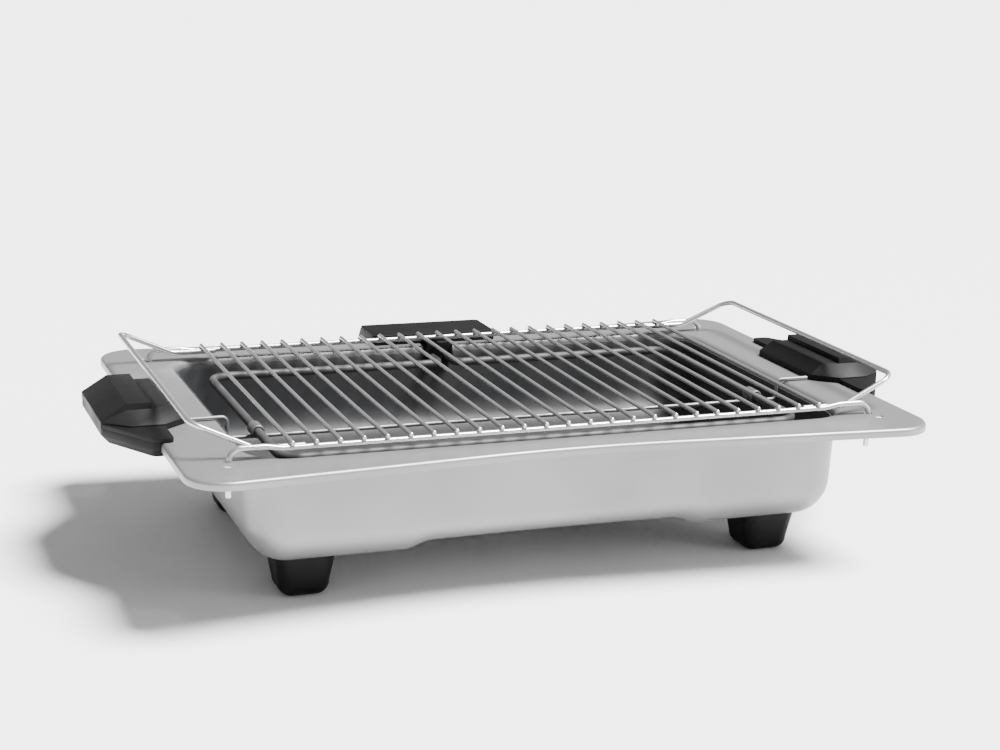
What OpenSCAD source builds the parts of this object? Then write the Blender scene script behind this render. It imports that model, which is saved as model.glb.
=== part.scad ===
// Table-top electric barbecue grill: a pressed steel tub on four feet, with two handles,
// a lift-out drip tray, a lift-out heating unit and a lift-off wire rack with two bails.
// Millimetres, +Z up. X runs along the length, +Y points to the back, where the control box hangs.
// The origin is on the table, below the middle of the overall box.

/* [Tub] */
// Length of the rim, end to end
rim_l = 550; // [520:1:700]
// Depth of the rim at its ends, front to back
rim_w = 382; // [360:1:500]
// How far each long edge of the rim dips in at mid-length
rim_waist = 23; // [5:1:30]
// Radius of the rim's corners in plan
rim_corner_r = 28; // [10:1:45]
// Height of the rim above the table
rim_h = 112; // [100:1:150]
// Depth of the turned-down lip round the rim
lip_drop = 6; // [3:0.5:7]
// Thickness of the steel sheet
sheet_t = 1.2; // [0.8:0.1:2]
// Length of the basin's outside at its mouth
basin_l = 452; // [375:1:455]
// Depth of the basin's outside at its mouth, front to back
basin_w = 288; // [240:1:300]
// Height of the basin, mouth to floor
basin_h = 81; // [70:1:95]
// How much further in each wall stands at the floor than at the mouth
basin_draft = 1.5; // [0.5:0.5:4]
// Radius of the basin's upright and lower edges
basin_r = 30; // [15:1:40]
// Height of the raised middle of the floor
arch_rise = 7; // [3:0.5:10]
// Length of the raised middle of the floor
arch_l = 226; // [150:1:260]
// Length of the slope at each end of the raised middle
arch_ramp = 14; // [5:1:25]
// Extra height at the crown of the raised middle
arch_crown = 1.5; // [0.5:0.5:4]
// Width of the slot in the back that takes the heating unit's neck
slot_w = 26; // [24:1:40]
// Depth of that slot below the rim
slot_h = 16; // [15:1:22]

/* [Feet] */
// Width of a foot at its top
foot_top = 44; // [36:1:60]
// Width of a foot near its base
foot_base = 37; // [30:1:55]
// Radius of a foot's lower edges
foot_r = 10; // [4:1:12]
// Distance between the feet along the length
foot_span_x = 360; // [290:1:380]
// Distance between the feet, front to back
foot_span_y = 192; // [150:1:200]
// Diameter of the screws in the feet and handles
screw_d = 4; // [3:0.5:5]

/* [Handles] */
// How far a handle stands out past the rim
handle_out = 33; // [25:1:45]
// Length of a handle along the rim's end, tip to tip
handle_l = 180; // [150:1:220]
// Length of a handle's raised grip
grip_l = 86; // [70:1:110]
// Height of the grip's outer crown above the rim
crown_h = 16.5; // [12:0.5:20]
// Height of the grip's inner step above the rim
step_h = 12.5; // [8:0.5:12.5]
// How far a handle reaches in over the rim
handle_in = 27; // [24:1:30]

/* [Drip tray] */
// Gap between the tray and the tub all round
tray_gap = 1.5; // [1:0.5:4]
// How far the tray's edge lies below the rim
tray_drop = 5; // [3:0.5:12]
// Thickness of the tray's sheet
tray_t = 1.2; // [0.8:0.1:2]

/* [Heating unit] */
// Diameter of the heating element's sheath
element_d = 6.5; // [5.5:0.1:8]
// Depth of the element's middle below the rim
element_drop = 9; // [8:0.5:10.5]
// Gap between the element's middle and the basin's end wall
element_end_gap = 28; // [20:1:50]
// Gap between the element's middle and the basin's front and back walls
element_side_gap = 28; // [22:1:50]
// Distance between the element's two ends in the neck
element_pitch = 13; // [12:0.5:15]
// Radius of the element's corners
element_r = 16; // [12:1:25]
// Diameter of the support wire under the element
support_d = 3; // [2:0.5:4]
// Distance of the support wire in front of the middle
support_y = 41; // [0:1:70]
// Length of the control box
box_l = 105; // [90:1:150]
// Height of the control box's lid above the rim
lid_h = 8.5; // [7:0.5:9]
// Depth of the control box's lid, front to back
lid_w = 42; // [40:1:50]
// Height of the control box below the rim
box_h = 60; // [50:1:80]
// How far the control box reaches back from the waist of the rim
box_out = 44; // [40:1:55]
// Thickness of the control box's walls
box_t = 2; // [1.5:0.1:3]
// Diameter of the thermostat's shaft
shaft_d = 6; // [5:0.5:8]
// Diameter of the thermostat's knob
knob_d = 34; // [26:1:40]
// Height of the thermostat's knob
knob_h = 14; // [10:1:20]
// Diameter of the hole in the cord gland
gland_bore = 7.5; // [6:0.1:9]

/* [Rack] */
// Number of cross wires
wire_count = 25; // [15:1:25]
// Distance from one cross wire to the next
wire_pitch = 16.5; // [14:0.5:16.5]
// Diameter of the cross wires
wire_d = 3; // [2:0.1:4]
// Diameter of the rails and bails
rail_d = 4; // [3:0.1:5]
// Distance between the rails, front to back
rail_span = 286; // [250:1:300]
// Height of the rails' middle above the rim
rail_h = 6.5; // [6:0.5:11]
// Extra height of the rails' outer ends
joggle_h = 2; // [1:0.5:5]
// Distance between a rail's two legs
leg_span = 482; // [470:1:490]
// How far a leg reaches below the rim
leg_h = 25; // [15:1:40]
// Diameter of the holes for the legs
leg_hole_d = 6.5; // [6.2:0.1:8]
// Distance from a leg's hole to the spare hole beside it
spare_pitch = 10.5; // [9:0.5:14]
// Height of a bail's bar above the rim
bail_h = 26; // [22:1:40]
// Distance between the two bails' bars
bail_span = 530; // [510:1:560]
// Length of a bail's bar
bail_bar = 272; // [200:1:274]

/* [Hidden] */
$fn = 48;

// Colours
steel = [0.74, 0.74, 0.75];
dark_coat = [0.19, 0.20, 0.21];
black_plastic = [0.12, 0.12, 0.13];
sheath = [0.30, 0.31, 0.32];
bright_wire = [0.86, 0.86, 0.87];
ceramic = [0.88, 0.86, 0.80];
amber = [0.95, 0.45, 0.10];
blue_lead = [0.25, 0.35, 0.60];

// Clearances
touch = 0.05; // how deep a weld sinks one wire into another
gap = 0.3; // between pieces that part from each other
run = 0.05; // radial, round a turning shaft
ease = 0.2; // radial, round a screw
over = 1; // how far a cut runs past the surface that it opens
leaf = 0.1; // thickness of the slices that blended shapes start from

// Tub
floor_z = rim_h - basin_h;
slot_front = basin_w / 2 - 6;
rim_back = rim_w / 2 - rim_waist;
waist_r = 900;
arch_steps = 6; // straight steps in each half of the raised floor's crown
spare_shift = 3; // how much further out the spare leg holes lie

// Screws
head_d = 1.8 * screw_d;
head_h = 0.55 * screw_d;
drive_w = 1; // width and depth of the slot in a screw's head
foot_grip = 18; // depth of a foot's screw hole
handle_screw_span = 56;
handle_screw_x = rim_l / 2 - 13;
handle_skin = 4; // thickness of the plastic above a handle's screw heads
handle_bite = 8; // how far a handle's screws reach up past the rim

// Handles
handle_x = rim_l / 2 + handle_out;
tip = handle_l / 2;
grip = grip_l / 2;
jaw_x = rim_l / 2 - 9; // inner edge of the flat wings that lie on the rim
wing_x = rim_l / 2 + 4; // outer edge of a wing at its tip
wing_t = 3;
block_x = rim_l / 2 - handle_in; // inner edge of the raised block
block_t = 4.2;
block_swell = 15; // how much further than the grip the block spreads on each side
block_slope = 11; // run of the slope from the block's inner edge up to the step
crown_x = rim_l / 2 - 2; // where the step up to the crown stands
crown_fall = 18; // run of the slope from the crown down to the outer edge
brow = 5; // height of the outer edge above the rim, and its depth below
chamfer = 5;
handle_floor = 10.5; // depth of a handle's underside below the rim
jaw_inset = 4; // how far the part under the rim stands back from the grip's outline

// Drip tray
tray_floor = floor_z + arch_rise + arch_crown + sheet_t + gap;

// Heating unit
element_z = rim_h - element_drop;
element_x = basin_l / 2 - element_end_gap;
element_y = basin_w / 2 - element_side_gap;
support_z = element_z - (element_d + support_d) / 2;
clip_d = element_d + 3.5;
clip_l = 14;
neck_l = slot_w - 4;
neck_front = slot_front - 2;
neck_top = 3.5;
neck_drop = 14;
hook_out = 20; // how far the support wire's hooks reach out over the rim
pin_d = 3;
tab = [0.8, 6, 6];

// Control box
lid_t = 1.6;
box_lift = 0.4; // gap between the rim and the part of the box that lies over it
box_front = rim_back - 18; // front of the part that lies on the rim
box_neck = rim_back + 6; // front of the part that hangs behind the rim
box_back = rim_back + box_out;
lid_back = box_front + lid_w;
lid_lap = 2; // how far the lid reaches past the top of the back wall
box_z0 = rim_h - box_h;
roof_z = rim_h + lid_h - lid_t;
shoulder_z = rim_h - 24;
tail_y = box_neck + 6; // where the element's sheath ends
tab_y = tail_y + 6; // middle of the tabs on the element's terminals
dial_x = 24;
dial_z = rim_h - 41;
lamp_x = -14;
gland_x = -36;
gland_z = rim_h - 44;
thermostat_l = 28;
thermostat_w = 18;
thermostat_h = 26;
lead_d = 2.4;
lens_d = 9;
lens_h = 4;
gland_d = gland_bore + 5;
gland_in = 4; // how far the cord gland reaches inside the wall
gland_out = 8;
post_d = 8;
post_h = 22;
post_x = box_l / 2 - box_t - 5;
post_y = (box_neck + box_back) / 2;
base_t = 2;
base_screw_l = 12;
shaft_in = 9; // how far the shaft reaches into the thermostat
knob_cap = 4; // thickness of the knob's skirt, and of the plastic over the shaft's end
grip_bar = 8; // width of the bar across the knob

// Rack
rail_z = rim_h + rail_h;
wire_z = rail_z + (rail_d + wire_d) / 2 - touch;
wire_over = 2.5; // how far a cross wire reaches past the rails
rack_half = (wire_count - 1) * wire_pitch / 2;
leg_r = 9;
rail_r = 12;
joggle_x = rack_half + 6; // where a rail starts to step up
joggle_l = 12;
bail_in = 10; // how far a bail's ends reach in past the last cross wire
bail_rise = 24; // where a bail starts to slope up, past the last cross wire

// The frame: the middle of the overall depth, which runs from the rim's front to the knob's back
rim_slope = rim_waist / (rim_l / 2);
rim_reach = rim_w / 2 - rim_corner_r * (rim_slope + sqrt(1 + rim_slope * rim_slope) - 1);
knob_back = box_back + gap + knob_h;
frame_y = (knob_back - rim_reach) / 2;

// ---------- helpers ----------

// Colours a sub-part and moves it from the tub's centre line to the frame's.
module part(colour) color(colour) translate([0, -frame_y, 0]) children();

function unit(v) = v / norm(v);
function turn_angle(a, b) = acos(max(-1, min(1, a * b)));

// A straight round bar from p to q.
module bar(p, q, d) if (norm(q - p) > 0.01) {
    u = unit(q - p);
    translate(p) rotate([0, acos(max(-1, min(1, u[2]))), atan2(u[1], u[0])]) cylinder(d = d, h = norm(q - p));
}

// A bend: starts at centre - n * r, sets off along a, and turns through angle towards n.
module bend(centre, a, n, r, angle, d) {
    z = cross(a, n);
    multmatrix([
        [-n[0], a[0], z[0], centre[0]],
        [-n[1], a[1], z[1], centre[1]],
        [-n[2], a[2], z[2], centre[2]],
        [0, 0, 0, 1]
    ]) rotate_extrude(angle = angle) translate([r, 0]) circle(d = d);
}

// A round wire through the points, with every corner bent to radius r.
module wire(points, r, d) {
    last = len(points) - 1;
    dirs = [for (i = [0:last - 1]) unit(points[i + 1] - points[i])];
    angles = [for (i = [0:last]) (i == 0 || i == last) ? 0 : turn_angle(dirs[i - 1], dirs[i])];
    cuts = [for (t = angles) r * tan(t / 2)];
    for (i = [0:last - 1]) bar(points[i] + dirs[i] * cuts[i], points[i + 1] - dirs[i] * cuts[i + 1], d);
    for (i = [1:last - 1]) {
        a = dirs[i - 1];
        n = unit(dirs[i] - a * (a * dirs[i]));
        bend(points[i] - a * cuts[i] + n * r, a, n, r, angles[i], d);
    }
}

// Steps round a corner of a swept wire: each is a centre and a direction.
function swept_corner(a, b, c, r) =
    let (u = unit(b - a), v = unit(c - b), angle = turn_angle(u, v), n = unit(v - u * (u * v)))
    let (centre = b - u * r * tan(angle / 2) + n * r, steps = ceil(angle / 12))
    [for (k = [0:steps]) let (t = angle * k / steps)
        [centre + r * (u * sin(t) - n * cos(t)), u * cos(t) + n * sin(t)]];

// The whole route of a swept wire, with corner i bent to radii[i - 1].
function swept_route(points, radii) =
    let (last = len(points) - 1)
    [[points[0], unit(points[1] - points[0])],
        for (i = [1:last - 1]) each swept_corner(points[i - 1], points[i], points[i + 1], radii[i - 1]),
        [points[last], unit(points[last] - points[last - 1])]];

// Sideways directions carried along the route without twisting.
function carried(route, start) =
    [for (i = 0, n = start; i < len(route); i = i + 1,
        n = i < len(route) ? unit(n - route[i][1] * (route[i][1] * n)) : n) n];

// A round wire that may run and bend in any direction, as one swept skin.
module swept_wire(points, radii, d, sides = 16) {
    route = swept_route(points, radii);
    side = carried(route, unit(cross(route[0][1], [0.3, 0.9, 0.5])));
    rings = len(route);
    skin = [for (i = [0:rings - 1], k = [0:sides - 1]) let (t = 360 * k / sides)
        route[i][0] + d / 2 * (side[i] * cos(t) + cross(route[i][1], side[i]) * sin(t))];
    walls = [for (i = [0:rings - 2], k = [0:sides - 1]) let (n = (k + 1) % sides)
        [i * sides + k, (i + 1) * sides + k, (i + 1) * sides + n, i * sides + n]];
    first = [for (k = [0:sides - 1]) k];
    end = [for (k = [sides - 1:-1:0]) (rings - 1) * sides + k];
    polyhedron(skin, concat(walls, [first, end]));
}

// Points of one rounded corner at b, between its neighbours a and c.
function corner(a, b, c, r, steps) =
    let (u = unit(a - b), v = unit(c - b), half = turn_angle(u, v) / 2)
    let (centre = b + unit(u + v) * r / sin(half), reach = r / tan(half))
    let (p = b + u * reach - centre, q = b + v * reach - centre)
    let (span = 180 - 2 * half, way = sign(p[0] * q[1] - p[1] * q[0]))
    [for (i = [0:steps]) let (t = way * span * i / steps)
        centre + [p[0] * cos(t) - p[1] * sin(t), p[0] * sin(t) + p[1] * cos(t)]];

// The outline through the points, with corner i rounded to radii[i].
function rounded(points, radii, steps = 8) =
    let (n = len(points))
    [for (i = [0:n - 1]) each corner(points[(i + n - 1) % n], points[i], points[(i + 1) % n], radii[i], steps)];

module mirrored_x() {
    children();
    mirror([1, 0, 0]) children();
}

module mirrored_y() {
    children();
    mirror([0, 1, 0]) children();
}

// A faceted ball whose flat top, bottom and sides all lie at radius r.
module ball(r) sphere(r / cos(180 / $fn));

module at_corners(x, y) for (sx = [-1, 1], sy = [-1, 1]) translate([sx * x, sy * y, 0]) children();

// ---------- tub ----------

// Outline of the rim, drawn in by inset on every side.
module rim_plan(inset = 0) {
    x = rim_l / 2 - inset;
    y = rim_w / 2 - inset;
    waist = y - rim_waist;
    r = rim_corner_r - inset;
    polygon(rounded([[x, -y], [x, y], [0, waist], [-x, y], [-x, -y], [0, -waist]],
        [r, r, waist_r, r, r, waist_r]));
}

// The basin as a solid, drawn in by inset, from its mouth at top down to its rounded floor.
module basin_form(inset, top, floor_level) {
    x = basin_l / 2 - basin_r;
    y = basin_w / 2 - basin_r;
    r = basin_r - inset;
    hull($fn = 32) {
        at_corners(x, y) translate([0, 0, top]) cylinder(r = r, h = over);
        at_corners(x - basin_draft, y - basin_draft) translate([0, 0, floor_level + r]) ball(r);
    }
}

// The space under the raised middle of the floor, grown by grow.
module arch_form(grow) {
    half = arch_l / 2 - arch_ramp + grow / 2;
    foot = half + arch_ramp;
    top = floor_z + arch_rise + grow;
    below = floor_z - arch_rise;
    crown = [for (i = [arch_steps:-1:-arch_steps]) let (t = i / arch_steps)
        [half * t, top + arch_crown * (1 - t * t)]];
    outline = concat([[-foot, floor_z + grow], [-foot, below], [foot, below], [foot, floor_z + grow]], crown);
    translate([0, basin_w, 0]) rotate([90, 0, 0]) linear_extrude(2 * basin_w) polygon(outline);
}

module basin_shell() difference() {
    difference() {
        basin_form(0, rim_h - over, floor_z);
        arch_form(0);
    }
    difference() {
        basin_form(sheet_t, rim_h + over, floor_z + sheet_t);
        arch_form(sheet_t);
    }
}

module rim() difference() {
    union() {
        translate([0, 0, rim_h - sheet_t]) linear_extrude(sheet_t) rim_plan();
        translate([0, 0, rim_h - lip_drop]) linear_extrude(lip_drop) difference() {
            rim_plan();
            rim_plan(sheet_t);
        }
    }
    basin_form(sheet_t, rim_h + over, floor_z + sheet_t);
}

// The slot at the back for the heating unit's neck.
module neck_slot() translate([-slot_w / 2, slot_front, rim_h - slot_h]) cube([slot_w, rim_w, rim_h]);

// A hole through the sheet whose upper face is at z.
module sheet_hole(d, z) translate([0, 0, z - 2 * sheet_t]) cylinder(d = d, h = 3 * sheet_t);

module leg_holes() {
    at_corners(leg_span / 2, rail_span / 2) sheet_hole(leg_hole_d, rim_h);
    at_corners(leg_span / 2 + spare_shift, rail_span / 2 + spare_pitch) sheet_hole(leg_hole_d, rim_h);
}

module tub() part(steel) difference() {
    union() {
        basin_shell();
        rim();
    }
    neck_slot();
    leg_holes();
    at_corners(handle_screw_x, handle_screw_span / 2) sheet_hole(screw_d + 2 * ease, rim_h);
    at_corners(foot_span_x / 2, foot_span_y / 2) sheet_hole(screw_d + 2 * ease, floor_z + sheet_t);
}

// ---------- feet ----------

module foot(sx, sy) part(black_plastic) translate([sx * foot_span_x / 2, sy * foot_span_y / 2, 0])
    difference() {
        hull($fn = 32) {
            top = foot_top / 2 - foot_r;
            base = foot_base / 2 - foot_r;
            at_corners(top, top) translate([0, 0, floor_z - over]) cylinder(r = foot_r, h = over);
            at_corners(base, base) translate([0, 0, foot_r]) ball(foot_r);
        }
        translate([0, 0, floor_z - foot_grip]) cylinder(d = screw_d, h = foot_grip + over);
    }

module foot_front_left() foot(-1, -1);
module foot_front_right() foot(1, -1);
module foot_back_left() foot(-1, 1);
module foot_back_right() foot(1, 1);

// A screw with its head up at the origin and its shank down.
module screw(length) {
    cylinder(d = head_d, h = head_h);
    translate([0, 0, -length]) cylinder(d = screw_d, h = length + head_h / 2);
}

module foot_screws() part(bright_wire) at_corners(foot_span_x / 2, foot_span_y / 2)
    translate([0, 0, floor_z + sheet_t]) difference() {
        screw(foot_grip - over);
        translate([-head_d / 2, -drive_w / 2, head_h - drive_w]) cube([head_d, drive_w, 2 * drive_w]);
    }

// ---------- handles ----------
// Each is drawn at the right-hand end, with the rim's top at z = 0, and mirrored for the left.

// Outline of a handle: a straight outer edge, and ends cut back to the tips.
module handle_plan(inset = 0) {
    x0 = jaw_x + inset;
    x1 = handle_x - inset;
    y1 = tip - inset;
    polygon(rounded([[x0, -y1], [wing_x, -y1], [x1, -grip], [x1, grip], [wing_x, y1], [x0, y1]],
        [3, 6, 9, 9, 6, 3], 4));
}

// Outline of the block that reaches in over the rim.
module block_plan() {
    x1 = block_x + crown_fall;
    x2 = handle_x - crown_fall;
    y1 = grip + block_swell;
    polygon([[block_x, -grip], [x1, -y1], [x2, -y1], [handle_x, -grip],
        [handle_x, grip], [x2, y1], [x1, y1], [block_x, grip]]);
}

// A thin slice with its top at z.
module slab(x0, x1, half, z) translate([x0, -half, z - leaf]) cube([x1 - x0, 2 * half, leaf]);

module handle_screw_holes(d, z0, z1) mirrored_y()
    translate([handle_screw_x, handle_screw_span / 2, z0]) cylinder(d = d, h = z1 - z0);

module handle_upper() difference() {
    union() {
        translate([0, 0, gap]) linear_extrude(wing_t) handle_plan();
        hull() {
            translate([0, 0, gap]) linear_extrude(block_t) block_plan();
            slab(block_x + block_slope, handle_x - crown_fall, grip - 2, step_h);
        }
        hull() {
            slab(crown_x, handle_x, grip, brow);
            slab(crown_x, handle_x - crown_fall, grip - 1, crown_h);
        }
    }
    handle_screw_holes(screw_d, -over, handle_bite + over);
}

module handle_lower() difference() {
    union() {
        hull() {
            translate([0, 0, -brow]) linear_extrude(leaf) handle_plan();
            translate([0, 0, -handle_floor]) linear_extrude(leaf) handle_plan(chamfer);
        }
        translate([0, 0, -brow]) linear_extrude(brow + gap) intersection() {
            handle_plan();
            translate([rim_l / 2 + gap, -tip]) square([handle_out, 2 * tip]);
        }
        under_rim();
    }
    lip_slot();
    handle_screw_holes(screw_d + 2 * ease, -2 * handle_floor, over);
    handle_screw_holes(head_d + 2 * ease, -2 * handle_floor, -handle_skin - sheet_t);
}

// The part of the lower half that lies under the rim, inside its lip.
module under_rim() {
    x0 = block_x + jaw_inset;
    half = grip - jaw_inset;
    height = handle_floor - 1.5;
    translate([x0, -half, -height]) cube([rim_l / 2 - sheet_t - gap - x0, 2 * half, height - sheet_t]);
}

// Room for the rim's lip along the handle, and for the whole rim past the grip.
module lip_slot() translate([0, 0, -lip_drop - gap]) {
    wall = sheet_t + 2 * gap;
    translate([rim_l / 2 - sheet_t - gap, -tip - over, 0]) cube([wall, 2 * (tip + over), rim_h]);
    mirrored_y() translate([rim_l / 2 - 2 * handle_in, grip - 5, 0]) cube([2 * handle_in, tip, rim_h]);
}

// Screws from below: heads sunk in the lower handle, shanks up into the upper one.
module handle_screws() mirrored_y()
    translate([handle_screw_x, handle_screw_span / 2, -handle_skin - sheet_t]) mirror([0, 0, 1])
        screw(handle_skin + sheet_t + handle_bite);

module right_handle_upper() part(black_plastic) translate([0, 0, rim_h]) handle_upper();
module right_handle_lower() part(black_plastic) translate([0, 0, rim_h]) handle_lower();
module right_handle_screws() part(bright_wire) translate([0, 0, rim_h]) handle_screws();
module left_handle_upper() part(black_plastic) translate([0, 0, rim_h]) mirror([1, 0, 0]) handle_upper();
module left_handle_lower() part(black_plastic) translate([0, 0, rim_h]) mirror([1, 0, 0]) handle_lower();
module left_handle_screws() part(bright_wire) translate([0, 0, rim_h]) mirror([1, 0, 0]) handle_screws();

// ---------- drip tray ----------

module drip_tray() part(dark_coat) difference() {
    inset = sheet_t + tray_gap;
    basin_form(inset, rim_h - tray_drop - over, tray_floor);
    basin_form(inset + tray_t, rim_h, tray_floor + tray_t);
    neck_slot();
}

// ---------- heating unit ----------

// Half of the element's path, from its end in the control box to the middle of the front.
function half_path(s) = [
    [s * element_pitch / 2, tail_y, element_z],
    [s * element_pitch / 2, element_y, element_z],
    [s * element_x, element_y, element_z],
    [s * element_x, -element_y, element_z]
];

// The neck's corners are bent tighter than the loop's own.
module heating_element() part(sheath) {
    right = half_path(1);
    left = half_path(-1);
    neck_r = element_d + 1;
    half_way = [element_x / 2, 0, 0];
    middle = [0, element_y, element_z];
    wire([right[0], right[1], middle + half_way], neck_r, element_d);
    wire([middle + half_way, right[2], right[3], left[3], left[2], middle - half_way], element_r, element_d);
    wire([middle - half_way, left[1], left[0]], neck_r, element_d);
}

module element_clips() part(bright_wire) mirrored_x() difference() {
    translate([element_x, -support_y, element_z]) rotate([90, 0, 0]) cylinder(d = clip_d, h = clip_l, center = true);
    translate([element_x, -support_y, element_z]) rotate([90, 0, 0])
        cylinder(d = element_d, h = clip_l + over, center = true);
    translate([element_x, -support_y, support_z]) rotate([0, 90, 0])
        cylinder(d = support_d, h = clip_d + over, center = true);
}

// One wire: hooked over both ends of the rim, down inside the tray and across under the element.
module element_support() part(bright_wire) {
    hook_z = rim_h + support_d / 2 + gap;
    x0 = basin_l / 2 + hook_out;
    x1 = basin_l / 2 - sheet_t - tray_gap - tray_t - support_d;
    hook_r = support_d + 1;
    wire([[-x0, -support_y, hook_z], [-x1, -support_y, hook_z], [-x1, -support_y, support_z],
        [x1, -support_y, support_z], [x1, -support_y, hook_z], [x0, -support_y, hook_z]], hook_r, support_d);
}

module element_neck() part(black_plastic) difference() {
    translate([-neck_l / 2, 0, rim_h - neck_drop]) {
        translate([0, neck_front, 0]) cube([neck_l, box_neck - neck_front, neck_drop]);
        translate([0, neck_front, 0]) cube([neck_l, box_front - neck_front, neck_drop + neck_top]);
    }
    element_bores(box_neck + over, box_neck);
}

// Holes for the element's two ends, length long, from y towards the front.
module element_bores(y, length) mirrored_x()
    translate([element_pitch / 2, y, element_z]) rotate([90, 0, 0]) cylinder(d = element_d, h = length);

// Bare ends of the element, with a flat tab on each.
module element_terminals() part(ceramic) mirrored_x() translate([element_pitch / 2, 0, element_z]) {
    translate([0, tail_y, 0]) rotate([-90, 0, 0]) cylinder(d = pin_d, h = tab_y - tail_y - tab[1] / 2 + over);
    translate([0, tab_y, 0]) cube(tab, center = true);
}

// ---------- control box ----------

// Section of the control box across its length, drawn in by inset.
module box_section(inset = 0) {
    floor = rim_h + box_lift;
    polygon([[box_front + inset, floor + inset], [box_neck + inset, floor + inset], [box_neck + inset, box_z0],
        [box_back - inset, box_z0], [box_back - inset, shoulder_z - inset / 2],
        [lid_back - lid_lap - inset, roof_z], [box_front + inset, roof_z]]);
}

// Lays a section drawn in Y and Z along X.
module along_x(length) translate([-length / 2, 0, 0]) rotate([90, 0, 90]) linear_extrude(length) children();

// Places children at x and z in the back wall, with their axis pointing out of it.
module in_back_wall(x, z) translate([x, box_back, z]) rotate([-90, 0, 0]) children();

module back_wall_hole(x, z, d) in_back_wall(x, z) translate([0, 0, -2 * box_t]) cylinder(d = d, h = 3 * box_t);

module control_housing() part(black_plastic) difference() {
    along_x(box_l) box_section();
    along_x(box_l - 2 * box_t) box_section(box_t);
    element_bores(box_neck + 2 * box_t, 3 * box_t);
    back_wall_hole(dial_x, dial_z, shaft_d + 2 * run);
    back_wall_hole(lamp_x, dial_z, lens_d);
    back_wall_hole(gland_x, gland_z, gland_d);
}

module control_lid() part(black_plastic) translate([0, 0, roof_z]) linear_extrude(lid_t)
    polygon(rounded([[-box_l / 2, box_front], [box_l / 2, box_front],
        [box_l / 2, lid_back], [-box_l / 2, lid_back]], [3, 3, 4, 4], 6));

module at_posts(z) mirrored_x() translate([post_x, post_y, z]) children();

module control_base() part(black_plastic) difference() {
    union() {
        translate([-box_l / 2, box_neck, box_z0 - base_t]) cube([box_l, box_back - box_neck, base_t]);
        at_posts(box_z0) cylinder(d = post_d, h = post_h);
    }
    at_posts(box_z0 - base_t - over) cylinder(d = screw_d, h = base_screw_l + 2 * over);
}

module control_screws() part(bright_wire) at_posts(box_z0 - base_t) mirror([0, 0, 1]) screw(base_screw_l);

module thermostat() part(ceramic) difference() {
    y0 = box_back - box_t - thermostat_w;
    translate([dial_x - thermostat_l / 2, y0, dial_z - thermostat_h / 2])
        cube([thermostat_l, thermostat_w, thermostat_h]);
    in_back_wall(dial_x, dial_z) translate([0, 0, -box_t - shaft_in - over])
        cylinder(d = shaft_d + 2 * run, h = shaft_in + 2 * over);
}

// Insulated leads from the element's tabs to the thermostat and to the cord gland.
module internal_leads() part(blue_lead) {
    x0 = element_pitch / 2;
    top_z = element_z - tab[2] / 2;
    bend_z = dial_z + thermostat_h / 2 + 8;
    drop_y = box_back - box_t - thermostat_w / 2;
    low_z = gland_z + 14;
    lead_r = 3;
    wire([[x0, tab_y, top_z], [x0, tab_y, bend_z], [dial_x, tab_y, bend_z], [dial_x, drop_y, bend_z],
        [dial_x, drop_y, dial_z + thermostat_h / 2]], lead_r, lead_d);
    wire([[-x0, tab_y, top_z], [-x0, tab_y, low_z], [gland_x, tab_y, low_z], [gland_x, tab_y, gland_z],
        [gland_x, box_back - box_t - gland_in - over, gland_z]], lead_r, lead_d);
}

module pilot_lamp() part(ceramic) in_back_wall(lamp_x, dial_z) translate([0, 0, -box_t - 12])
    cylinder(d = lens_d - 1, h = 12);

// A short plug through the wall with a domed head outside it.
module pilot_lens() part(amber) in_back_wall(lamp_x, dial_z) {
    head_r = lens_d / 2 + 1;
    dome_r = (head_r * head_r + lens_h * lens_h) / (2 * lens_h);
    translate([0, 0, -box_t]) cylinder(d = lens_d, h = box_t);
    intersection() {
        cylinder(r = head_r, h = lens_h + over);
        translate([0, 0, lens_h - dome_r]) sphere(dome_r);
    }
}

// A moulded bush that the supply cord would pass through.
module cord_gland() part(black_plastic) in_back_wall(gland_x, gland_z) difference() {
    union() {
        translate([0, 0, -box_t - gland_in]) cylinder(d = gland_d, h = box_t + gland_in);
        cylinder(d = gland_d + 5, h = 2);
        cylinder(d = gland_d - 1, h = gland_out);
    }
    translate([0, 0, -box_t - gland_in - over])
        cylinder(d = gland_bore, h = box_t + gland_in + gland_out + 2 * over);
}

// ---------- knob ----------

module thermostat_knob() part(black_plastic) in_back_wall(dial_x, dial_z) translate([0, 0, gap]) difference() {
    union() {
        cylinder(d = knob_d, h = knob_cap);
        cylinder(d = knob_d - 6, h = knob_h - knob_cap);
        translate([-grip_bar / 2, over - knob_d / 2, 0]) cube([grip_bar, knob_d - 2 * over, knob_h]);
    }
    translate([0, 0, -over]) cylinder(d = shaft_d, h = knob_h - knob_cap + over);
}

module thermostat_shaft() part(bright_wire) in_back_wall(dial_x, dial_z) translate([0, 0, -box_t - shaft_in])
    cylinder(d = shaft_d, h = box_t + shaft_in + gap + knob_h - knob_cap);

// ---------- rack ----------

// A rail, drawn for the front (side = -1) or the back (side = 1): straight under the cross wires,
// stepped up beyond the last of them, and bent down into a leg at each end.
module rail(side) part(bright_wire) {
    y = side * rail_span / 2;
    z0 = rail_z;
    z1 = rail_z + joggle_h;
    x1 = joggle_x;
    x2 = joggle_x + joggle_l;
    x3 = leg_span / 2;
    foot_z = rim_h - leg_h;
    swept_wire([[-x3, y, foot_z], [-x3, y, z1], [-x2, y, z1], [-x1, y, z0],
        [x1, y, z0], [x2, y, z1], [x3, y, z1], [x3, y, foot_z]],
        [leg_r, rail_r, rail_r, rail_r, rail_r, leg_r], rail_d);
}

module front_rail() rail(-1);
module back_rail() rail(1);

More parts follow.
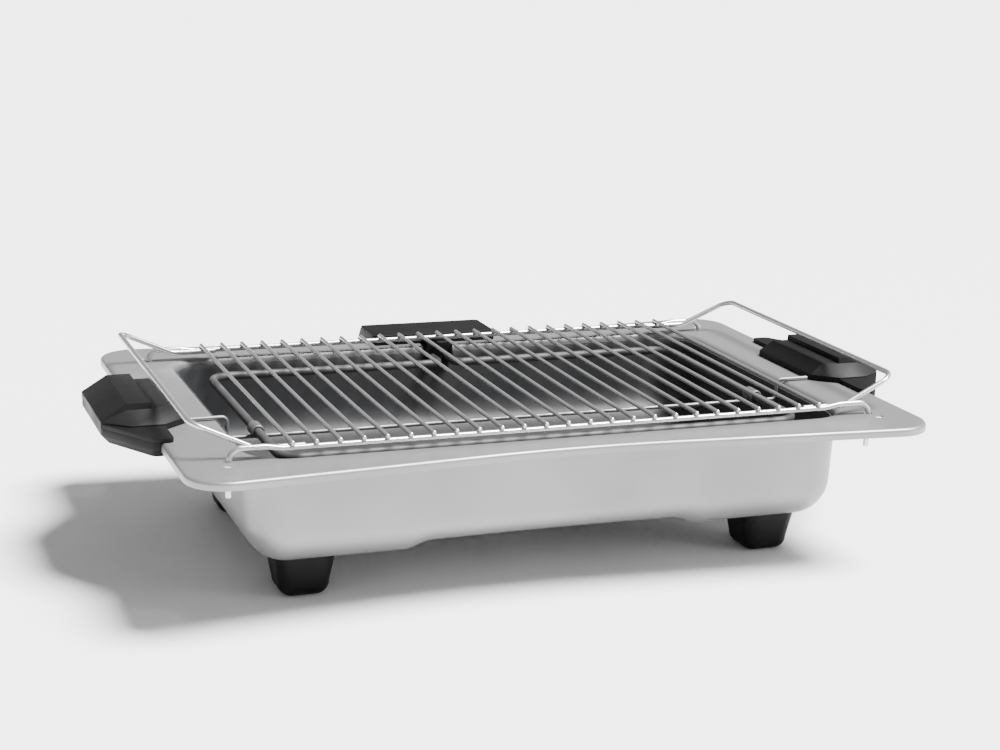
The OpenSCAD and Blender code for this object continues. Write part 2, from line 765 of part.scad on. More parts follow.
// A bail: its ends lie against the insides of the rails, and its bar stands up past the last wire.
module bail(side) part(bright_wire) {
    y = rail_span / 2 - rail_d + touch;
    x0 = side * (rack_half - bail_in);
    x1 = side * (rack_half + bail_rise);
    x2 = side * bail_span / 2;
    swept_wire([[x0, -y, rail_z], [x1, -y, rail_z], [x2, -bail_bar / 2, rim_h + bail_h],
        [x2, bail_bar / 2, rim_h + bail_h], [x1, y, rail_z], [x0, y, rail_z]],
        [rail_r, rail_r, rail_r, rail_r], rail_d);
}

module left_bail() bail(-1);
module right_bail() bail(1);

module cross_wires() part(bright_wire) {
    half = rail_span / 2 + wire_over;
    for (i = [0:wire_count - 1]) translate([i * wire_pitch - rack_half, half, wire_z]) rotate([90, 0, 0])
        cylinder(d = wire_d, h = 2 * half);
}

tub();
foot_front_left();
foot_front_right();
foot_back_left();
foot_back_right();
foot_screws();
left_handle_upper();
left_handle_lower();
left_handle_screws();
right_handle_upper();
right_handle_lower();
right_handle_screws();
drip_tray();
heating_element();
element_clips();
element_support();
element_neck();
element_terminals();
control_housing();
control_lid();
control_base();
control_screws();
thermostat();
internal_leads();
pilot_lamp();
pilot_lens();
cord_gland();
thermostat_knob();
thermostat_shaft();
front_rail();
back_rail();
left_bail();
right_bail();
cross_wires();
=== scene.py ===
"""Looks of a table-top electric grill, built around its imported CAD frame.

Everything is in metres, in the frame's own axes: X along the length, Y to the back, Z up. Each new
piece is a surface worked out with numpy, as one of three kinds: a closed plan outline carried along a
profile, a round section carried along a bent path, or a profile turned about an axis. Moulded parts
with flat faces are copies of their CAD nodes with rounded edges.
"""

import logging
import math
from collections.abc import Callable
from dataclasses import dataclass, field, replace
from enum import Enum
from functools import cache

import bmesh
import bpy
import numpy as np
from mathutils import Matrix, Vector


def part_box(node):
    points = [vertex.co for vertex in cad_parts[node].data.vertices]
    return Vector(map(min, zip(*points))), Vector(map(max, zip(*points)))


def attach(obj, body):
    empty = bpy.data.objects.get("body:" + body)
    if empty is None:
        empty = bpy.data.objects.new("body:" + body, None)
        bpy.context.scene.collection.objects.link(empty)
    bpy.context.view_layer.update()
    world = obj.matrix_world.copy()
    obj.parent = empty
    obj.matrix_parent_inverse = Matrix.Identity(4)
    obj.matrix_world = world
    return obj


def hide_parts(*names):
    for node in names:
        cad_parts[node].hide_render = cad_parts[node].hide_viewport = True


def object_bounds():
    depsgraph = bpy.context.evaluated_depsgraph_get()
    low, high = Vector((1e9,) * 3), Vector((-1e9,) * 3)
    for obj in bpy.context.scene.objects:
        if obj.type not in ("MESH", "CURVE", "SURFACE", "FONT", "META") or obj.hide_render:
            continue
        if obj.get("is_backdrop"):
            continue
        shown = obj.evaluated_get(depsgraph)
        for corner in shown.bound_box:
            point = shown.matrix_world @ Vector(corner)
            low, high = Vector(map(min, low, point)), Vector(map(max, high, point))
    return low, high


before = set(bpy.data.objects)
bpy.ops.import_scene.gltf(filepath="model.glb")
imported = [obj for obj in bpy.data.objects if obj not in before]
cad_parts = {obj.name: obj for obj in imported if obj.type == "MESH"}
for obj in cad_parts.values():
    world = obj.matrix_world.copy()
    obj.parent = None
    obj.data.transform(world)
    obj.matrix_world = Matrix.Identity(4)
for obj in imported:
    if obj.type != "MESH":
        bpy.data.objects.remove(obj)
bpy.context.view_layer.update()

Array = np.ndarray
RGB = tuple[float, float, float]
Vec = tuple[float, float, float]
Piece = bpy.types.Object
Socket = bpy.types.NodeSocket
Group = bpy.types.NodeTree
QUARTER = math.pi / 2
SHEET = 0.0012  # Thickness of the tub's and the tray's sheet.
UP: Vec = (0.0, 0.0, 1.0)
BACKWARD: Vec = (0.0, 1.0, 0.0)
NECK_SLOT = (0.026, 0.016)  # Width and depth of the slots that the heating unit's neck lies in.
WELD_SINK = 0.00005  # How far welded wires sink into each other.
SAME_POINT = 0.00002  # Distance below which two vertices of a CAD node are one.
log = logging.getLogger("grill")


class Side(Enum):
    """A side of the grill, given by the sign of its coordinate."""

    @property
    def word(self) -> str:
        """The side's name, as the CAD nodes spell it."""
        return self.name.lower()


class End(Side):
    """The two ends of the grill along X."""

    LEFT = -1.0
    RIGHT = 1.0


class Row(Side):
    """The front and the back of the grill along Y."""

    FRONT = -1.0
    BACK = 1.0


class Body(Enum):
    """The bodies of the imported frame."""

    TUB = "tub"
    TRAY = "drip_tray"
    UNIT = "heating_unit"
    DIAL = "thermostat_dial"
    RACK = "rack"


@dataclass(frozen=True)
class Box:
    """Lowest and highest corner of a CAD node at rest."""

    low: Array
    high: Array

    @classmethod
    def of(cls, node: str) -> "Box":
        """The box of one CAD node."""
        low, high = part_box(node)
        return cls(np.array(low), np.array(high))

    @property
    def centre(self) -> Array:
        """The middle of the box."""
        return (self.low + self.high) / 2

    @property
    def size(self) -> Array:
        """The three side lengths."""
        return self.high - self.low


# ---------- surfaces ----------


@dataclass
class Skin:
    """A mesh in the making: vertices and faces, gathered from one or more surfaces."""

    points: list[Array] = field(default_factory=list)
    faces: list[tuple[int, ...]] = field(default_factory=list)
    count: int = 0

    def add_rings(
        self, rings: Array, start_cap: bool = False, end_cap: bool = False, loop: bool = False
    ) -> "Skin":
        """Appends a grid of closed rings, joined one to the next.

        Args:
            rings: Array of shape (rings, points in a ring, 3).
            start_cap: Whether a fan closes the first ring.
            end_cap: Whether a fan closes the last ring.
            loop: Whether the last ring joins the first, as on a torus.

        Returns:
            The skin itself.
        """
        m, n, _ = rings.shape
        i, j = np.meshgrid(np.arange(m if loop else m - 1), np.arange(n), indexing="ij")
        near, far = i * n, (i + 1) % m * n
        after = (j + 1) % n
        quads = np.stack([near + j, near + after, far + after, far + j], axis=-1).reshape(-1, 4)
        points = rings.reshape(-1, 3)
        faces = [tuple(q) for q in quads.tolist()]
        ring = np.arange(n)
        for wanted, base, turn in ((start_cap, 0, -1), (end_cap, (m - 1) * n, 1)):
            if wanted:
                points = np.vstack([points, rings[base // n].mean(axis=0)])
                fan = np.stack([ring, np.roll(ring, -1)][::turn], axis=-1) + base
                faces += [(a, b, len(points) - 1) for a, b in fan.tolist()]
        self.points.append(points)
        self.faces.extend(tuple(i + self.count for i in f) for f in faces)
        self.count += len(points)
        return self

    def mesh(self, name: str) -> bpy.types.Mesh:
        """The skin as a Blender mesh."""
        mesh = bpy.data.meshes.new(name)
        mesh.from_pydata(np.vstack(self.points).tolist(), [], self.faces)
        mesh.update()
        return mesh

    def piece(
        self, name: str, body: Body, finish: "Finish", *nodes: str, crease: float = 35.0
    ) -> Piece:
        """Makes the Blender object, on its body and in place of its CAD nodes.

        Args:
            name: The piece's name.
            body: The CAD body it rides on.
            finish: Its finish, whose name is also the record's material slot.
            nodes: The CAD nodes it stands for.
            crease: The angle, in degrees, past which an edge is shaded sharp.

        Returns:
            The new object.
        """
        obj = linked(name, self.mesh(name))
        smooth(obj.data, crease)
        return settle(obj, body, finish, *nodes)


def closed(rings: Array) -> Skin:
    """A skin of one run of rings, closed at both ends."""
    return Skin().add_rings(rings, True, True)


def linked(name: str, data: bpy.types.ID) -> Piece:
    """A new object with the given data, linked to the scene."""
    obj = bpy.data.objects.new(name, data)
    bpy.context.scene.collection.objects.link(obj)
    return obj


def smooth(mesh: bpy.types.Mesh, crease: float) -> None:
    """Shades a mesh smooth, apart from edges sharper than crease degrees."""
    mesh.polygons.foreach_set("use_smooth", np.ones(len(mesh.polygons), dtype=bool))
    mesh.set_sharp_from_angle(angle=math.radians(crease))


def settle(obj: Piece, body: Body, finish: "Finish", *nodes: str) -> Piece:
    """Gives a new piece its material, its body and the CAD nodes that it stands for."""
    obj.data.materials.clear()
    obj.data.materials.append(finish.material())
    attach(obj, body.value)
    if nodes:
        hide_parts(*nodes)
    log.info("%s: %d faces, rides on %s", obj.name, len(obj.data.polygons), body.value)
    return obj


def baked(obj: Piece, crease: float = 35.0) -> Piece:
    """Applies an object's modifiers and shades the result smooth, up to edges of crease degrees."""
    graph = bpy.context.evaluated_depsgraph_get()
    mesh = bpy.data.meshes.new_from_object(obj.evaluated_get(graph))
    mesh.name = obj.name
    obj.modifiers.clear()
    obj.data = mesh
    smooth(mesh, crease)
    return obj


def thicken(obj: Piece, sheet: float) -> Piece:
    """Gives a surface the thickness of a sheet, on the side that its faces point away from."""
    solid = obj.modifiers.new("sheet", "SOLIDIFY")
    solid.thickness = sheet
    solid.offset = -1.0
    solid.use_even_offset = True
    return obj


def round_edges(
    obj: Piece, width: float, segments: int = 3, angle: float = 30.0
) -> Piece:
    """Rounds every edge sharper than angle degrees."""
    bevel = obj.modifiers.new("edges", "BEVEL")
    bevel.width = width
    bevel.segments = segments
    bevel.limit_method = "ANGLE"
    bevel.angle_limit = math.radians(angle)
    return obj


def carve(obj: Piece, cutters: list[Skin]) -> Piece:
    """Cuts closed shapes out of a piece and applies all its modifiers."""
    tools = []
    for number, cutter in enumerate(cutters):
        name = f"cutter_{number}"
        tool = linked(name, cutter.mesh(name))
        cut = obj.modifiers.new(name, "BOOLEAN")
        cut.operation = "DIFFERENCE"
        cut.solver = "EXACT"
        cut.object = tool
        tools.append(tool)
    baked(obj)
    for tool in tools:
        bpy.data.objects.remove(tool)
    return obj


def rounded_copy(name: str, node: str, body: Body, finish: "Finish", width: float) -> None:
    """A moulded part: a copy of a CAD node with its flat faces made whole and its edges rounded.

    Args:
        name: The piece's name.
        node: The CAD node it is copied from and stands for.
        body: The CAD body it rides on.
        finish: Its finish.
        width: How far from an edge its rounding starts.
    """
    work = bmesh.new()
    work.from_mesh(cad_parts[node].data)
    bmesh.ops.remove_doubles(work, verts=work.verts, dist=SAME_POINT)
    bmesh.ops.dissolve_degenerate(work, edges=work.edges, dist=SAME_POINT)
    bmesh.ops.dissolve_limit(work, angle_limit=math.radians(1.0), verts=work.verts, edges=work.edges)
    mesh = bpy.data.meshes.new(name)
    work.to_mesh(mesh)
    work.free()
    obj = linked(name, mesh)
    round_edges(obj, width)
    baked(obj, 40.0)
    settle(obj, body, finish, node)


def plan_outline(
    half: Array, corner: float, waist: float = 0.0, waist_radius: float = 0.9
) -> tuple[Array, Array]:
    """A rounded rectangle whose two long edges may dip in towards the middle.

    A long edge is a straight line from each corner to the dip, with an arc tangent to both lines there. A
    corner is an arc tangent to the short edge and to that line. The outline runs anticlockwise from the
    right-hand end, and its second half is the first turned by half a turn. Outlines of any size have the
    same number of points in the same order.

    Args:
        half: Half length and half depth, before the corners are rounded.
        corner: Radius of the corners.
        waist: How far each long edge dips in at mid-length.
        waist_radius: Radius of the arc at the dip.

    Returns:
        The points and the outward normals, each of shape (n, 2).
    """
    ends, corners, sides = 40, 14, 110
    slope = waist / half[0]
    lean = math.atan(slope)
    middle_x = half[0] - corner
    middle_y = half[1] - waist + slope * middle_x - corner / math.cos(lean)
    across = np.linspace(-middle_y, middle_y, ends, endpoint=False)
    turn = np.linspace(0, QUARTER + lean, corners, endpoint=False)
    left = turn - lean
    reach = middle_x - corner * math.sin(lean)
    x = np.linspace(reach, -reach, sides, endpoint=False)
    arc_x = waist_radius * math.sin(lean)
    inner = np.clip(x, -arc_x, arc_x)
    arc_y = half[1] - waist + waist_radius / math.cos(lean) - np.sqrt(waist_radius**2 - inner**2)
    straight = np.abs(x) >= arc_x
    y = np.where(straight, half[1] - waist + slope * np.abs(x), arc_y)
    rise = np.where(straight, slope * np.sign(x), inner / np.sqrt(waist_radius**2 - inner**2))
    level = np.sqrt(1 + rise**2)
    points = np.concatenate([
        np.c_[np.full(ends, half[0]), across],
        np.c_[middle_x + corner * np.cos(turn), middle_y + corner * np.sin(turn)],
        np.c_[x, y],
        np.c_[-middle_x - corner * np.sin(left), middle_y + corner * np.cos(left)],
    ])
    normals = np.concatenate([
        np.c_[np.ones(ends), np.zeros(ends)],
        np.c_[np.cos(turn), np.sin(turn)],
        np.c_[-rise / level, 1 / level],
        np.c_[-np.sin(left), np.cos(left)],
    ])
    return np.concatenate([points, -points]), np.concatenate([normals, -normals])


def lifted(plan: Array, height: Array | float) -> Array:
    """Plan points of shape (..., 2), given heights, as points of shape (..., 3)."""
    height = np.broadcast_to(height, plan.shape[:-1])
    return np.concatenate([plan, height[..., None]], axis=-1)


def inward_arc(
    plan: Array, outward: Array, radius: Array | float, level: float, sense: float, steps: int
) -> list[Array]:
    """Rows of points that draw an outline inwards along a quarter circle.

    At angle t a row lies radius * (1 - cos t) inside the outline and radius * sin t above or below level.

    Args:
        plan: The outline's points.
        outward: Its outward normals.
        radius: The circle's radius, for the whole outline or one value for each point.
        level: Height at which the circle starts.
        sense: 1 to rise and -1 to sink.
        steps: Number of rows.

    Returns:
        The rows, without the one at level itself.
    """
    radius = np.reshape(radius, (-1, 1))
    turn = np.linspace(0, QUARTER, steps + 1)[1:]
    drawn = [plan - outward * radius * (1 - math.cos(t)) for t in turn]
    return [lifted(row, level + sense * radius[:, 0] * math.sin(t)) for row, t in zip(drawn, turn)]


def mirrored(half: list[Vec], axis: int, middle: float = 0.0) -> Array:
    """A route's first half with its mirror image across axis = middle, in one run of corner points."""
    start = np.array(half)
    other = start[::-1].copy()
    other[:, axis] = 2 * middle - other[:, axis]
    return np.concatenate([start, other])


def bent_path(corners: Array, radii: list[float], step: float = 7.5) -> Array:
    """A line through corner points, with every inner corner bent to its radius.

    At a corner between directions a and b that turn through t, the bend is an arc of radius r. It starts
    r * tan(t / 2) before the corner and its middle lies r along the normal that points inside the bend.

    Args:
        corners: The corner points, one row each.
        radii: A radius for each inner corner.
        step: Degrees of bend between two points.

    Returns:
        The points of the path.
    """
    parts = [corners[:1]]
    for before, point, after, radius in zip(corners, corners[1:], corners[2:], radii):
        a = (point - before) / np.linalg.norm(point - before)
        b = (after - point) / np.linalg.norm(after - point)
        angle = math.acos(float(np.clip(a @ b, -1, 1)))
        inward = b - a * (a @ b)
        inward /= np.linalg.norm(inward)
        start = point - a * radius * math.tan(angle / 2)
        t = np.linspace(0, angle, max(3, math.ceil(math.degrees(angle) / step)))[:, None]
        parts.append(start + radius * (a * np.sin(t) + inward * (1 - np.cos(t))))
    parts.append(corners[-1:])
    return np.concatenate(parts)


def tube_rings(path: Array, radius: float, upright: Vec, sides: int, chamfer: float = 0.0004) -> Array:
    """A round section carried along a path, with both ends slightly chamfered.

    At each point the section's first axis is the tangent crossed with upright, and its second is the
    tangent crossed with that axis, so the section never twists while upright is not along the path.

    Args:
        path: The middle line, one row for each point.
        radius: Radius of the wire.
        upright: A direction that the path never runs along.
        sides: Points in each ring.
        chamfer: Size of the chamfer at the two ends.

    Returns:
        The rings, of shape (points, sides, 3).
    """
    tangent = np.gradient(path, axis=0)
    tangent[0] = path[1] - path[0]
    tangent[-1] = path[-1] - path[-2]
    tangent /= np.linalg.norm(tangent, axis=1, keepdims=True)
    first, last = path[0], path[-1]
    inner = np.vstack([first, first + tangent[0] * chamfer, path[1:-1], last - tangent[-1] * chamfer, last])
    tangent = np.vstack([tangent[:1], tangent, tangent[-1:]])
    sizes = np.full(len(inner), radius)
    sizes[[0, -1]] -= chamfer
    side = np.cross(tangent, upright)
    side /= np.linalg.norm(side, axis=1, keepdims=True)
    up = np.cross(tangent, side)
    angle = np.linspace(0, 2 * math.pi, sides, endpoint=False)
    round_part = side[:, None] * np.cos(angle)[:, None] + up[:, None] * np.sin(angle)[:, None]
    return inner[:, None] + sizes[:, None, None] * round_part


def bent_wire(corners: Array, radii: list[float], radius: float, upright: Vec, sides: int) -> Skin:
    """A wire of the given radius, bent through corner points and closed at both ends."""
    return closed(tube_rings(bent_path(corners, radii), radius, upright, sides))


def turned_rings(
    profile: Array, origin: Array, axis: Vec, sides: int, flutes: int = 0, depth: Array | float = 0.0
) -> Array:
    """A profile turned about an axis, with shallow flutes if they are wanted.

    The radius at angle a is the profile's own, less depth times the square of the cosine of half of
    flutes * a, so depth 0 gives a plain round.

    Args:
        profile: Rows of radius and height along the axis.
        origin: The point at height 0.
        axis: The axis's direction.
        sides: Points in each ring.
        flutes: Number of flutes round the piece.
        depth: Depth of a flute, for all rings or one value for each.

    Returns:
        The rings, of shape (profile points, sides, 3).
    """
    along = np.array(axis) / np.linalg.norm(axis)
    across = np.cross(along, UP if abs(along[2]) < 0.9 else BACKWARD)
    across /= np.linalg.norm(across)
    other = np.cross(along, across)
    angle = np.linspace(0, 2 * math.pi, sides, endpoint=False)
    radius = profile[:, :1] - np.reshape(depth, (-1, 1)) * np.cos(flutes * angle / 2) ** 2 * (flutes > 0)
    flat = across * np.cos(angle)[:, None] + other * np.sin(angle)[:, None]
    return origin + radius[..., None] * flat + profile[:, 1, None, None] * along


def arc_profile(
    centre: tuple[float, float], radius: float, start: float, stop: float, count: int
) -> Array:
    """Points of an arc in a profile, from start to stop degrees."""
    angle = np.radians(np.linspace(start, stop, count))
    return np.array(centre) + radius * np.c_[np.cos(angle), np.sin(angle)]


def box_rings(low: Vec, high: Vec) -> Array:
    """The two square rings of a plain block between two corners."""
    (x0, y0, z0), (x1, y1, z1) = low, high
    plan = np.array([[x0, y0], [x1, y0], [x1, y1], [x0, y1]])
    return np.stack([lifted(plan, z0), lifted(plan, z1)])


# ---------- finishes ----------


class Tree:
    """A node tree with short ways to add and link its nodes."""

    def __init__(self, tree: Group) -> None:
        """Wraps a tree and empties it."""
        self.tree = tree
        tree.nodes.clear()

    def node(self, kind: str, inputs: dict | None = None, **settings: object) -> bpy.types.Node:
        """Adds a node.

        Args:
            kind: Its type, without the ShaderNode prefix.
            inputs: Value or output socket for each input, by name or by number.
            settings: Properties of the node.

        Returns:
            The new node.
        """
        made = self.tree.nodes.new("ShaderNode" + kind)
        for key, value in settings.items():
            setattr(made, key, value)
        for key, value in (inputs or {}).items():
            if isinstance(value, Socket):
                self.tree.links.new(value, made.inputs[key])
            else:
                made.inputs[key].default_value = value
        return made

    def maths(self, operation: str, *values: object) -> Socket:
        """The result of a Math node."""
        return self.node("Math", dict(enumerate(values)), operation=operation).outputs[0]

    def noise(self, place: Socket, scale: object, detail: float, roughness: float = 0.5) -> Socket:
        """The value of a noise texture."""
        inputs = {"Vector": place, "Scale": scale, "Detail": detail, "Roughness": roughness}
        return self.node("TexNoise", inputs).outputs[0]

    def effect(self, group: Callable[[], Group], place: Socket, amount: float) -> Socket:
        """The result of a shared group, which is built the first time it is wanted."""
        return self.node("Group", {0: place, 1: amount}, node_tree=group()).outputs[0]

    def blend(self, amount: object, first: object, second: object) -> Socket:
        """A colour between two others."""
        return self.node("Mix", {0: amount, 6: first, 7: second}, data_type="RGBA").outputs[2]

    def spread(self, value: Socket, low: float, high: float, to_low: float, to_high: float) -> Socket:
        """A value mapped, within limits, from one range to another."""
        inputs = {0: value, 1: low, 2: high, 3: to_low, 4: to_high}
        return self.node("MapRange", inputs, clamp=True).outputs[0]


def shared_group(name: str, amount: str, result: str) -> tuple[Tree, Socket, Socket, Socket]:
    """Starts a shader node group that takes a place and one amount, and gives one result.

    Returns:
        The group's tree, and the sockets of its place, its amount and its result.
    """
    tree = bpy.data.node_groups.new(name, "ShaderNodeTree")
    tree.interface.new_socket(name="Place", in_out="INPUT", socket_type="NodeSocketVector")
    tree.interface.new_socket(name=amount, in_out="INPUT", socket_type="NodeSocketFloat")
    tree.interface.new_socket(name=result, in_out="OUTPUT", socket_type="NodeSocketFloat")
    made = Tree(tree)
    place, given = tree.nodes.new("NodeGroupInput").outputs[:2]
    return made, place, given, tree.nodes.new("NodeGroupOutput").inputs[0]


@cache
def grain_group() -> Group:
    """Fine grain: noise at the given size, with finer noise at a third of it laid over."""
    tree, place, size, height = shared_group("fine_grain", "Size", "Height")
    rate = tree.maths("DIVIDE", 1.0, size)
    coarse = tree.noise(place, rate, 2.0)
    fine = tree.noise(place, tree.maths("MULTIPLY", rate, 3.0), 1.0)
    tree.tree.links.new(tree.maths("MULTIPLY_ADD", fine, 0.4, coarse), height)
    return tree.tree


@cache
def brush_group() -> Group:
    """Brushed lines: noise drawn out along X, at the given width."""
    tree, place, width, lines = shared_group("brushed_lines", "Width", "Lines")
    drawn = tree.node("Mapping", {"Vector": place, "Scale": (0.02, 1.0, 1.0)}).outputs[0]
    tree.tree.links.new(tree.noise(drawn, tree.maths("DIVIDE", 1.0, width), 3.0, 0.6), lines)
    return tree.tree


@cache
def mottle_group() -> Group:
    """Soft patches: large noise, with its middle range stretched to run from 0 to 1."""
    tree, place, size, patches = shared_group("soft_patches", "Size", "Patches")
    noise = tree.noise(place, tree.maths("DIVIDE", 1.0, size), 4.0, 0.55)
    tree.tree.links.new(tree.spread(noise, 0.35, 0.65, 0.0, 1.0), patches)
    return tree.tree


@cache
def wear_group() -> Group:
    """Edge wear: outward-bent edges, broken up by noise."""
    tree, place, amount, worn = shared_group("edge_wear", "Amount", "Worn")
    edges = tree.spread(tree.node("NewGeometry").outputs["Pointiness"], 0.53, 0.62, 0.0, 1.0)
    noise = tree.spread(tree.noise(place, 160.0, 3.0), 0.35, 0.6, 0.2, 1.0)
    tree.tree.links.new(tree.maths("MULTIPLY", tree.maths("MULTIPLY", edges, noise), amount), worn)
    return tree.tree


@dataclass(frozen=True)
class Finish:
    """A surface finish, with the record's slot that it belongs to.

    Colours are linear. The second colour shows in soft patches, and the worn colour along edges. Grain and
    brush are a width and a depth in metres, and a brush of width 0 leaves no lines.
    """

    slot: str
    colour: RGB
    patch_colour: RGB
    roughness: tuple[float, float]
    metallic: float = 0.0
    patch_size: float = 0.05
    grain: tuple[float, float] = (0.0006, 0.00002)
    brush: tuple[float, float] = (0.0, 0.0)
    worn_colour: RGB = (0.5, 0.5, 0.5)
    wear: float = 0.0
    coat: float = 0.0
    sheen: float = 0.0
    transmission: float = 0.0
    specular: float = 0.5
    label: str = ""

    def material(self) -> bpy.types.Material:
        """The finish's material, built the first time it is wanted."""
        name = "finish_" + (self.label or self.slot)
        ready = bpy.data.materials.get(name)
        if ready:
            return ready
        made = bpy.data.materials.new(name)
        made.use_nodes = True
        tree = Tree(made.node_tree)
        place = tree.node("TexCoord").outputs["Object"]
        patches = tree.effect(mottle_group, place, self.patch_size)
        grain = tree.effect(grain_group, place, self.grain[0])
        colour = tree.blend(patches, (*self.colour, 1.0), (*self.patch_colour, 1.0))
        rough = tree.spread(patches, 0.0, 1.0, *self.roughness)
        height = tree.maths("MULTIPLY", grain, self.grain[1])
        if self.brush[0]:
            lines = tree.effect(brush_group, place, self.brush[0])
            height = tree.maths("MULTIPLY_ADD", lines, self.brush[1], height)
            rough = tree.maths("ADD", rough, tree.spread(lines, 0.3, 0.7, -0.05, 0.05))
        if self.wear:
            worn = tree.effect(wear_group, place, self.wear)
            colour = tree.blend(worn, colour, (*self.worn_colour, 1.0))
        bump = tree.node("Bump", {"Height": height, "Strength": 1.0, "Distance": 1.0})
        shader = tree.node("BsdfPrincipled", {
            "Base Color": colour, "Roughness": rough, "Metallic": self.metallic, "Normal": bump.outputs[0],
            "Coat Weight": self.coat, "Coat Roughness": 0.25, "Sheen Weight": self.sheen,
            "Transmission Weight": self.transmission, "Specular IOR Level": self.specular,
        })
        tree.node("OutputMaterial", {"Surface": shader.outputs[0]})
        return made


STEEL = Finish("satin_steel", (0.25, 0.25, 0.253), (0.22, 0.22, 0.223), (0.36, 0.44), metallic=0.6,
               patch_size=0.12, grain=(0.0005, 0.000004), brush=(0.0009, 0.000010))
WIRE = Finish("bright_wire", (0.56, 0.56, 0.555), (0.50, 0.50, 0.495), (0.26, 0.34), metallic=0.9,
              patch_size=0.03, grain=(0.0008, 0.000002))
# Copy of the wire finish for the element's sleeves and hanger, which sit down in the basin: its darker grey
# is painted shade, and it is also rougher and less metallic.
SHADED_WIRE = replace(WIRE, colour=(0.20, 0.20, 0.20), patch_colour=(0.15, 0.15, 0.15), roughness=(0.38, 0.48),
                    metallic=0.7, patch_size=0.02, grain=(0.0008, 0.000004), label="shaded_wire")
SCREW = Finish("screw_steel", (0.50, 0.50, 0.51), (0.38, 0.38, 0.38), (0.28, 0.42), metallic=1.0,
               patch_size=0.004, grain=(0.0004, 0.00001))
TRAY = Finish("tray_coating", (0.024, 0.0245, 0.026), (0.032, 0.0325, 0.034), (0.44, 0.54),
              patch_size=0.05, grain=(0.0009, 0.00002), specular=0.4)
SHEATH = Finish("element_sheath", (0.040, 0.041, 0.043), (0.060, 0.059, 0.058), (0.48, 0.60), metallic=0.2,
                patch_size=0.02, grain=(0.0005, 0.00001), specular=0.4)
HANDLE = Finish("handle_plastic", (0.004, 0.004, 0.0043), (0.0055, 0.0055, 0.0058), (0.48, 0.60),
                patch_size=0.03, grain=(0.0007, 0.00003), worn_colour=(0.012, 0.012, 0.012),
                wear=0.5, specular=0.13)
FOOT = replace(HANDLE, slot="black_plastic", roughness=(0.46, 0.58), patch_size=0.02,
               grain=(0.0007, 0.00002), specular=0.12)
CASE = replace(HANDLE, slot="box_plastic", colour=(0.0045, 0.0045, 0.0048),
               patch_colour=(0.006, 0.006, 0.0063), roughness=(0.54, 0.64), grain=(0.0006, 0.00002),
               worn_colour=(0.014, 0.014, 0.014), specular=0.1)
CERAMIC = Finish("ceramic", (0.70, 0.66, 0.56), (0.62, 0.58, 0.48), (0.25, 0.4), patch_size=0.01,
                 grain=(0.0004, 0.00001), coat=0.3)
LEAD = Finish("lead_insulation", (0.03, 0.07, 0.25), (0.04, 0.09, 0.30), (0.45, 0.6), patch_size=0.01,
              grain=(0.0003, 0.00001), sheen=0.2)
LENS = Finish("lamp_lens", (0.95, 0.28, 0.04), (0.90, 0.22, 0.03), (0.05, 0.12), patch_size=0.006,
              grain=(0.001, 0.000005), transmission=0.8)
RUBBER = Finish("rubber_black", (0.012, 0.012, 0.012), (0.02, 0.02, 0.02), (0.55, 0.7), patch_size=0.01,
                grain=(0.0005, 0.00002))
DIAL_PRINT = Finish("box_plastic", (0.75, 0.75, 0.74), (0.68, 0.68, 0.67), (0.5, 0.6), label="dial_print")


# ---------- pieces ----------


